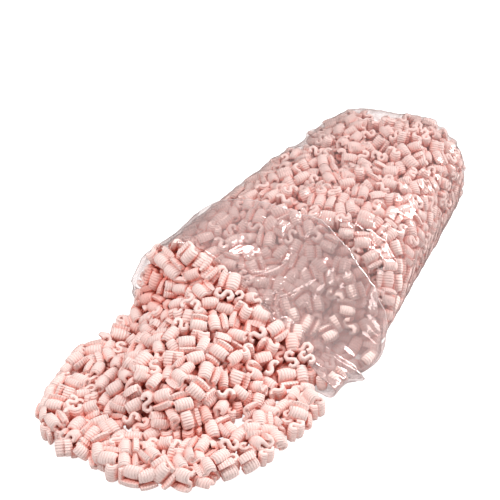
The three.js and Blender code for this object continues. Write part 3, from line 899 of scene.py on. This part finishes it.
class FilmShape:
    """The film drawn tight round the peanuts, as distances from the bag's middle line."""

    COLUMNS = 240
    SLICE = 3.0
    FLOOR_GAP = 1.1
    LOWEST = 0.4
    MEETING_STEPS = 12
    PULL_STEPS = 80
    PULL_SHARE = 0.9
    VERTEX_BALL = 5.0
    STAND_OFF = 0.9
    SLACK = 3.0
    SHRINK = 0.08
    END_SHRINK = 0.45
    END_REACH = 45.0
    TAUT_REACH = 5
    TAUT_STEPS = 10

    def __init__(self, bag, vertices):
        self.bag = bag
        self.y = np.arange(bag.low_y, bag.end_y + 2, self.SLICE)
        self.angles = np.arange(self.COLUMNS) * 2 * math.pi / self.COLUMNS
        y, angle = np.meshgrid(self.y, self.angles, indexing="ij")
        self.grid_y = y
        self.centre = bag.centre(y)
        self.way = np.stack([np.cos(angle), np.zeros_like(angle), np.sin(angle)], axis=-1)
        wall = bag.radius(y, angle) + self.SLACK
        down = np.minimum(self.way[..., 2], -1e-6)
        to_floor = np.where(self.way[..., 2] < 0, (self.centre[..., 1] - self.FLOOR_GAP) / -down, 1e6)
        self.high = np.minimum(wall, to_floor)
        self.low = np.minimum(self.pushed_by(vertices), self.high)
        self.radius = self.high.copy()
        near_end = np.clip(1 - (bag.end_y - y) / self.END_REACH, 0, 1)
        self.shrink = self.SHRINK + self.END_SHRINK * near_end
        for _ in range(self.PULL_STEPS):
            self.pull()
        self.taut = self.drawn_taut()
        self.end_y = vertices[:, 1].max() + self.STAND_OFF

    def places(self, radius):
        """The grid's places at these distances from the middle line."""
        place = self.way * radius[..., None]
        place[..., 0] += self.centre[..., 0]
        place[..., 1] = self.grid_y
        place[..., 2] += self.centre[..., 1]
        return place

    def pushed_by(self, vertices):
        """The least distance of the film at each grid place, so that it clears the peanuts."""
        keep = vertices[vertices[:, 1] > self.bag.low_y - 6]
        away = keep[:, [0, 2]] - self.bag.centre(keep[:, 1])
        distance = np.linalg.norm(away, axis=1)
        column = np.mod(np.arctan2(away[:, 1], away[:, 0]), 2 * math.pi) * self.COLUMNS / (2 * math.pi)
        row = (keep[:, 1] - self.bag.low_y) / self.SLICE
        low = np.zeros_like(self.grid_y)
        for i in (-2, -1, 0, 1, 2):
            for j in (-3, -2, -1, 0, 1, 2, 3):
                at_row = np.rint(row).astype(int) + i
                at_column = np.rint(column).astype(int) + j
                off_y = (at_row - row) * self.SLICE
                off_s = (at_column - column) * 2 * math.pi / self.COLUMNS * distance
                drop = (off_y ** 2 + off_s ** 2) / (2 * self.VERTEX_BALL)
                inside = (at_row >= 0) & (at_row < len(self.y)) & (drop < self.VERTEX_BALL)
                np.maximum.at(low, (at_row[inside], at_column[inside] % self.COLUMNS),
                              (distance - drop + self.STAND_OFF)[inside])
        return low

    def pull(self):
        """One step of tension: every place moves towards its neighbours' mean, along its own ray."""
        place = self.places(self.radius)
        before = np.concatenate([place[:1], place[:-1]])
        after = np.concatenate([place[1:], place[-1:]])
        beside = np.roll(place, 1, axis=1) + np.roll(place, -1, axis=1)
        mean = (beside + before + after) / 4
        mean[0] = beside[0] / 2
        mean[-1] = beside[-1] / 2
        inward = np.sum((mean - place) * self.way, axis=-1)
        self.radius = np.clip(self.radius + self.PULL_SHARE * inward - self.shrink, self.low, self.high)

    def drawn_taut(self):
        """A smoother surface just outside the film, for the second layer that lies over it."""
        taut = self.radius.copy()
        for _ in range(self.TAUT_REACH):
            before = np.concatenate([taut[:1], taut[:-1]])
            after = np.concatenate([taut[1:], taut[-1:]])
            around = np.maximum(np.roll(taut, 1, axis=1), np.roll(taut, -1, axis=1))
            taut = np.maximum(np.maximum(taut, around), np.maximum(before, after)) * 0.35 + taut * 0.65
        for _ in range(self.TAUT_STEPS):
            before = np.concatenate([taut[:1], taut[:-1]])
            after = np.concatenate([taut[1:], taut[-1:]])
            taut = (np.roll(taut, 1, axis=1) + np.roll(taut, -1, axis=1) + before + after) / 4
            taut = np.maximum(taut, self.radius)
        return np.minimum(taut, self.high + 1)

    def at(self, y, lift=0.0, taut=False):
        """Film places for one y per column, raised outwards by lift."""
        column = np.arange(self.COLUMNS)
        row = np.clip((y - self.y[0]) / self.SLICE, 0, len(self.y) - 1.001)
        i = row.astype(int)
        share = row - i
        source = self.taut if taut else self.radius
        radius = source[i, column] * (1 - share) + source[i + 1, column] * share + lift
        centre = self.bag.centre(y)
        return np.stack([
            centre[:, 0] + radius * np.cos(self.angles), y,
            np.maximum(centre[:, 1] + radius * np.sin(self.angles), self.LOWEST)], axis=1)

    def row_where(self, plane, lift=0.0):
        """The y of each column where the film meets a slanted plane."""
        y = np.full(self.COLUMNS, 0.0)
        for _ in range(self.MEETING_STEPS):
            y = 0.5 * y + 0.5 * plane(self.at(y, lift))
        return y


class Creases:
    """Random sharp folds on the film, each a line in the unrolled sheet."""

    def __init__(self, random, count, across, along, slant, length, height, width):
        self.s = random.uniform(*across, count)
        self.y = random.uniform(*along, count)
        self.slant = random.uniform(*slant, count)
        self.length = random.uniform(*length, count)
        self.height = random.uniform(*height, count) * random.choice((-1, 1), count)
        self.width = random.uniform(*width, count)

    def at(self, s, y):
        """Summed height of the folds at places of the unrolled sheet."""
        total = np.zeros_like(s)
        for k in range(len(self.s)):
            off_s = s - self.s[k]
            off_y = y - self.y[k]
            run = off_s * math.sin(self.slant[k]) + off_y * math.cos(self.slant[k])
            aside = off_s * math.cos(self.slant[k]) - off_y * math.sin(self.slant[k])
            fade = np.clip(1 - (run / self.length[k]) ** 2, 0, 1)
            total += self.height[k] * fade * np.exp(-np.abs(aside) / self.width[k])
        return total


BODY_ROWS = 128
CUFF_ROWS = 34
END_ROWS = 12
CUFF_LIFT = 2.2
HEM_BACK = (0.0, 0.8, 1.2)
HEM_ROWS = 2
FIN_DEPTH = 7.0
FIN_GAP = 0.35
FIN_WIDTH_SHARE = 0.9
END_BULGE = 2.0
SHEET_RADIUS = 155.0
LIP_AT = -48.0
LIP_WIDTH = 34.0
LIP_LENGTH = 24.0
SCALLOPS = ((2.0, 23.0, 0.0), (1.4, 9.1, 1.0))
# Each group of folds: count, then the ranges of place across and along, slant, length, height and width.
BODY_FOLDS = (
    (46, (-20, 480), (-110, 60), (-0.5, 0.7), (25, 75), (0.7, 2.0), (2.2, 4.0)),
    (40, (-60, 260), (20, 250), (0.3, 1.2), (25, 70), (0.5, 1.5), (2.2, 3.6)),
    (44, (-160, 120), (60, 380), (-1.6, -0.9), (15, 45), (0.4, 1.3), (2.0, 3.2)),
    (40, (200, 560), (60, 380), (-0.6, 0.6), (15, 50), (0.3, 1.0), (2.0, 3.2)),
    (50, (-300, 700), (300, 392), (-0.35, 0.35), (20, 60), (0.5, 1.8), (2.0, 3.5)),
    (34, (185, 275), (-50, 28), (-1.5, 1.5), (8, 26), (1.6, 4.0), (1.6, 3.0)),
    (34, (0, 150), (-75, 85), (0.7, 1.1), (40, 100), (1.2, 3.4), (1.6, 3.0)),
)
CUFF_FOLDS = (60, (-30, 500), (-110, 40), (-0.35, 0.55), (20, 60), (0.5, 1.9), (2.0, 3.6))
CUFF_GAP = 0.3
CUFF_FLARE = 1.2
DEEPEST_CUFF_FOLD = -1.0
RIM_LIFT = 1.1
RIM_FORWARD = 1.6
PLEAT_DEPTH = 1.6
PLEAT_LENGTH = 5.5


def film_rows(shape, random):
    """Rows of film places from the cuff's free edge over the mouth to the sealed end."""
    s = np.where(shape.angles > 1.5 * math.pi, shape.angles - 2 * math.pi, shape.angles) * SHEET_RADIUS
    groups = [Creases(random, *numbers) for numbers in BODY_FOLDS]
    up = np.clip(np.sin(shape.angles) * 3 + 1.2, 0, 1)

    def folds(y):
        """Height of the body's folds, fading out towards the underside."""
        return sum(group.at(s, y) for group in groups) * up

    cuff_folds = Creases(random, *CUFF_FOLDS)
    rim = shape.row_where(rim_y)
    edge = shape.row_where(cuff_edge_y)
    scallop = sum(height * np.sin(s / length + phase) for height, length, phase in SCALLOPS)
    scallop -= LIP_LENGTH * np.exp(-((s - LIP_AT) / LIP_WIDTH) ** 2)
    rows = []
    layer = []
    for back in HEM_BACK + tuple(k / CUFF_ROWS for k in range(1, CUFF_ROWS + 1)):
        share = 0.0 if len(rows) < len(HEM_BACK) else back
        y = edge + (rim - edge) * share + scallop * share * up
        y = y - (back if share == 0.0 else HEM_BACK[-1] * (1 - share))
        flare = CUFF_FLARE * (1 - share) ** 3
        fold = np.maximum(folds(y) + cuff_folds.at(s, y) * up, DEEPEST_CUFF_FOLD)
        lift = (CUFF_LIFT + flare) * up + CUFF_GAP + fold
        rows.append(shape.at(y, lift, taut=True))
        layer.append(1.0)
    turned = rim + scallop * up
    bead = shape.at(turned, RIM_LIFT * up + folds(turned))
    bead[:, 1] -= RIM_FORWARD
    rows.append(bead)
    layer.append(1.0)
    for k in range(BODY_ROWS):
        share = k / (BODY_ROWS - 1)
        y = turned + (shape.end_y - turned) * share
        rows.append(shape.at(y, folds(y)))
        layer.append(0.0)
    ring = rows[-1]
    middle = shape.bag.centre(np.array([shape.bag.end_y]))[0]
    for k in range(1, END_ROWS + 1):
        share = k / END_ROWS
        row = ring.copy()
        row[:, 0] = middle[0] + (ring[:, 0] - middle[0]) * (1 - (1 - FIN_WIDTH_SHARE) * share)
        gap = FIN_GAP * np.sign(np.sin(shape.angles) + 1e-9)
        row[:, 2] = middle[1] + (ring[:, 2] - middle[1]) * (1 - share) + gap * share
        pleat = PLEAT_DEPTH * np.sin(s / PLEAT_LENGTH) * share * (1 - share) * 2
        row[:, 1] = ring[:, 1] + END_BULGE * math.sin(share * math.pi / 2) + pleat
        rows.append(row)
        layer.append(0.0)
    fin = rows[-1].copy()
    fin[:, 1] += FIN_DEPTH
    fin[:, 2] = middle[1]
    rows.append(fin)
    layer.append(0.0)
    return np.array(rows), np.array(layer)


def wrap_mesh(name, rows, layer):
    """A sheet mesh from closed rows; the last row is pinched shut along the seal."""
    count, columns = rows.shape[:2]
    index = np.arange(count * columns).reshape(count, columns)
    for column in range(columns // 2 + 1, columns):
        index[-1, column] = index[-1, columns - column]
    faces = []
    for row in range(count - 1):
        for column in range(columns):
            after = (column + 1) % columns
            face = [index[row, column], index[row, after], index[row + 1, after], index[row + 1, column]]
            face = list(dict.fromkeys(int(corner) for corner in face))
            if len(face) > 2:
                faces.append(face)
    mesh = bpy.data.meshes.new(name)
    mesh.from_pydata([tuple(place) for place in rows.reshape(-1, 3) * MM], [], faces)
    for label, values in (("cuff", layer), ("hem", np.arange(count) < HEM_ROWS)):
        attribute = mesh.attributes.new(label, "FLOAT", "POINT")
        attribute.data.foreach_set("value", np.repeat(values.astype(float), columns).tolist())
    work = bmesh.new()
    work.from_mesh(mesh)
    bmesh.ops.delete(work, geom=[v for v in work.verts if not v.link_faces], context="VERTS")
    work.to_mesh(mesh)
    work.free()
    mesh.shade_smooth()
    return mesh


FILM_FACE_ON = (0.99, 0.985, 0.985)
FILM_EDGE_ON = (0.6, 0.55, 0.54)
FILM_HAZE = 0.05
CUFF_HAZE = 0.085
EDGE_HAZE = 0.12
HEM_HAZE = 0.75
FOLD_HAZE = 0.025
FOLD_STRENGTH = 2.4


def film_material(settings):
    """Clear glossy film: greyer seen edge on, hazier where it lies double, folded near the mouth."""
    material, n, output = new_material("clear film")
    cuff = n.painted("cuff")
    place = n.add("ShaderNodeTexCoord").outputs["Object"]
    crinkle = n.add("ShaderNodeTexNoise", {
        "Vector": place, "Scale": 52.0, "Detail": 3.0, "Roughness": 0.55}, noise_type="RIDGED_MULTIFRACTAL")
    stretched = n.add("ShaderNodeMapping", {
        "Vector": place, "Scale": (14.0, 95.0, 14.0), "Rotation": (0, 0, 0.25)})
    folds = n.add("ShaderNodeTexNoise", {
        "Vector": stretched.outputs[0], "Scale": 1.0, "Detail": 2.0, "Roughness": 0.6},
        noise_type="RIDGED_MULTIFRACTAL")
    parts = n.add("ShaderNodeSeparateXYZ", {0: place}).outputs
    right_side = n.math("MULTIPLY", parts[0], 10.0, clamp=True)
    near_mouth = n.math("MULTIPLY_ADD", parts[1], -7.0, 0.9, clamp=True)
    strength = n.math("MULTIPLY", n.math("MULTIPLY", right_side, near_mouth), FOLD_STRENGTH)
    height = n.math("MULTIPLY_ADD", folds.outputs[0], strength, crinkle.outputs[0])
    bump = n.add("ShaderNodeBump", {"Height": height, "Distance": 0.0015, "Strength": 0.7}).outputs[0]
    hem = n.painted("hem")
    facing = n.add("ShaderNodeLayerWeight", {"Blend": 0.5, "Normal": bump}).outputs["Facing"]
    grazing = n.math("POWER", facing, 3.0)
    tint = n.mix(grazing, FILM_FACE_ON, FILM_EDGE_ON)
    clear = n.add("ShaderNodeBsdfTransparent", {"Color": tint})
    # Its pink base colour is painted light from the peanuts showing through the haze.
    gloss = n.add("ShaderNodeBsdfPrincipled", {
        "Base Color": (*settings.color, 1), "Roughness": 0.08, "Normal": bump, "Metallic": 0.4,
        "IOR": 1.5})
    haze = n.math("MULTIPLY_ADD", cuff, CUFF_HAZE, FILM_HAZE)
    share = n.math("MULTIPLY_ADD", grazing, EDGE_HAZE, haze)
    share = n.math("ADD", share, n.math("MULTIPLY", hem, HEM_HAZE))
    share = n.math("MULTIPLY_ADD", strength, FOLD_HAZE, share)
    both = n.add("ShaderNodeMixShader", {0: share, 1: clear.outputs[0], 2: gloss.outputs[0]})
    n.tree.links.new(both.outputs[0], output.inputs[0])
    return material


class PEANUTBAG_OT_film(bpy.types.Operator):
    """Draw the film tight round the peanuts and turn its mouth back."""

    bl_idname = "peanutbag.film"
    bl_label = "Wrap film"

    def execute(self, context):
        settings = context.scene.peanutbag_film
        inside = [bpy.data.objects[name] for name in INSIDE_FILM]
        vertices = []
        for piece in inside:
            flat = np.empty(len(piece.data.vertices) * 3)
            piece.data.vertices.foreach_get("co", flat)
            vertices.append(flat.reshape(-1, 3) / MM)
        shape = FilmShape(BagShape(), np.concatenate(vertices))
        rows, layer = film_rows(shape, np.random.default_rng(settings.seed))
        mesh = wrap_mesh("film", rows, layer)
        film = bpy.data.objects.new("film", mesh)
        context.scene.collection.objects.link(film)
        solid = film.modifiers.new("wall", "SOLIDIFY")
        solid.thickness = settings.wall
        solid.offset = 0.0
        bpy.context.view_layer.update()
        graph = bpy.context.evaluated_depsgraph_get()
        made = bpy.data.meshes.new_from_object(film.evaluated_get(graph), depsgraph=graph)
        film.modifiers.clear()
        film.data = made
        made.materials.append(film_material(settings))
        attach(film, BODY)
        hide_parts(FILM_NODE, CUFF_NODE)
        flat = (2 * settings.lay_flat_width, settings.flat_length)
        return {"FINISHED"}


# ------------------------------------------------------------------ stage

CAMERA_TARGET = (BASE_X * MM, BASE_Y * MM, 0.0)
CAMERA_AZIMUTH = math.radians(26)
CAMERA_ELEVATION = math.radians(35)
CAMERA_DISTANCE = 2.7
CAMERA_LENS = 134.06
SENSOR = 36.0
FLOOR_HALF = 30.0
FLOOR_GLOW = (0.2, 0.2, 0.2)
FLOOR_GLOW_SEEN = (0.92, 0.92, 0.92)
WORLD_STRENGTH = 0.25
LIGHT_TARGET = (0.0, 0.1, 0.05)
LIGHTS = (
    # name, place, width, height as a share of the width, power
    ("key", (-1.3, -0.9, 2.1), 0.7, 1.0, 37),
    ("fill", (1.9, -1.6, 1.5), 1.0, 1.0, 13),
    ("top", (0.1, 0.55, 2.9), 0.36, 1.0, 19),
    ("side", (1.4, 1.0, 1.85), 0.3, 3.5, 24),
    ("rim", (1.65, 2.0, 1.1), 0.42, 2.4, 38),
)


class StageSettings(bpy.types.PropertyGroup):
    """The floor."""

    floor_color: bpy.props.FloatVectorProperty(
        name="Floor colour", description="Colour of the plain floor", subtype="COLOR", size=3,
        default=(0.6, 0.6, 0.6))


def add_light(name, place, size, shape, power):
    """A rectangular area light aimed at the object."""
    data = bpy.data.lights.new(name, "AREA")
    data.shape = "RECTANGLE"
    data.size = size
    data.size_y = size * shape
    data.energy = power
    lamp = bpy.data.objects.new(name, data)
    lamp.location = place
    lamp.rotation_euler = (Vector(LIGHT_TARGET) - Vector(place)).to_track_quat("-Z", "Y").to_euler()
    bpy.context.scene.collection.objects.link(lamp)


class PEANUTBAG_OT_stage(bpy.types.Operator):
    """Add the camera, the floor, the lights and the white surroundings."""

    bl_idname = "peanutbag.stage"
    bl_label = "Set up stage"

    def execute(self, context):
        scene = context.scene
        settings = scene.peanutbag_stage
        target = Vector(CAMERA_TARGET)
        back = Vector((math.sin(CAMERA_AZIMUTH) * math.cos(CAMERA_ELEVATION),
                       -math.cos(CAMERA_AZIMUTH) * math.cos(CAMERA_ELEVATION), math.sin(CAMERA_ELEVATION)))
        data = bpy.data.cameras.new("camera")
        data.lens = CAMERA_LENS
        data.sensor_width = SENSOR
        camera = bpy.data.objects.new("camera", data)
        camera.location = target + back * CAMERA_DISTANCE
        camera.rotation_euler = (-back).to_track_quat("-Z", "Y").to_euler()
        scene.collection.objects.link(camera)
        scene.camera = camera

        floor_mesh = bpy.data.meshes.new("floor")
        corners = [(x * FLOOR_HALF, y * FLOOR_HALF, 0) for x, y in ((-1, -1), (1, -1), (1, 1), (-1, 1))]
        floor_mesh.from_pydata(corners, [], [(0, 1, 2, 3)])
        floor = bpy.data.objects.new("floor", floor_mesh)
        scene.collection.objects.link(floor)
        material, n, output = new_material("floor")
        seen = n.add("ShaderNodeLightPath").outputs["Is Camera Ray"]
        surface = n.add("ShaderNodeBsdfPrincipled", {
            "Base Color": (*settings.floor_color, 1), "Roughness": 0.9, "Specular IOR Level": 0.0,
            "Emission Color": n.mix(seen, FLOOR_GLOW, FLOOR_GLOW_SEEN), "Emission Strength": 1.0})
        n.tree.links.new(surface.outputs[0], output.inputs[0])
        floor_mesh.materials.append(material)

        world = bpy.data.worlds.new("studio")
        world.use_nodes = True
        background = world.node_tree.nodes["Background"].inputs
        background["Color"].default_value = (1, 1, 1, 1)
        background["Strength"].default_value = WORLD_STRENGTH
        scene.world = world
        for light in LIGHTS:
            add_light(*light)
        scene.view_settings.view_transform = "Standard"
        scene.cycles.transparent_max_bounces = 24
        return {"FINISHED"}


class PEANUTBAG_PT_panel(bpy.types.Panel):
    """Lists the steps in the sidebar."""

    bl_idname = "PEANUTBAG_PT_panel"
    bl_label = "Peanut bag"
    bl_space_type = "VIEW_3D"
    bl_region_type = "UI"
    bl_category = "Peanut bag"

    def draw(self, context):
        layout = self.layout
        for settings, operator in (
                (context.scene.peanutbag_peanuts, "peanutbag.peanuts"),
                (context.scene.peanutbag_film, "peanutbag.film"),
                (context.scene.peanutbag_stage, "peanutbag.stage")):
            box = layout.box()
            for name in settings.bl_rna.properties.keys():
                if name not in ("rna_type", "name"):
                    box.prop(settings, name)
            box.operator(operator)


CLASSES = (PeanutSettings, FilmSettings, StageSettings, PEANUTBAG_OT_peanuts, PEANUTBAG_OT_film,
           PEANUTBAG_OT_stage, PEANUTBAG_PT_panel)


def register():
    """Register the add-on's classes and settings."""
    for item in CLASSES:
        bpy.utils.register_class(item)
    bpy.types.Scene.peanutbag_peanuts = bpy.props.PointerProperty(type=PeanutSettings)
    bpy.types.Scene.peanutbag_film = bpy.props.PointerProperty(type=FilmSettings)
    bpy.types.Scene.peanutbag_stage = bpy.props.PointerProperty(type=StageSettings)


def unregister():
    """Remove the add-on's settings and classes."""
    del bpy.types.Scene.peanutbag_stage
    del bpy.types.Scene.peanutbag_film
    del bpy.types.Scene.peanutbag_peanuts
    for item in reversed(CLASSES):
        bpy.utils.unregister_class(item)


def main():
    """Build everything."""
    register()
    bpy.ops.peanutbag.peanuts()
    bpy.ops.peanutbag.film()
    bpy.ops.peanutbag.stage()
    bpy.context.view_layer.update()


if __name__ == "__main__":
    main()
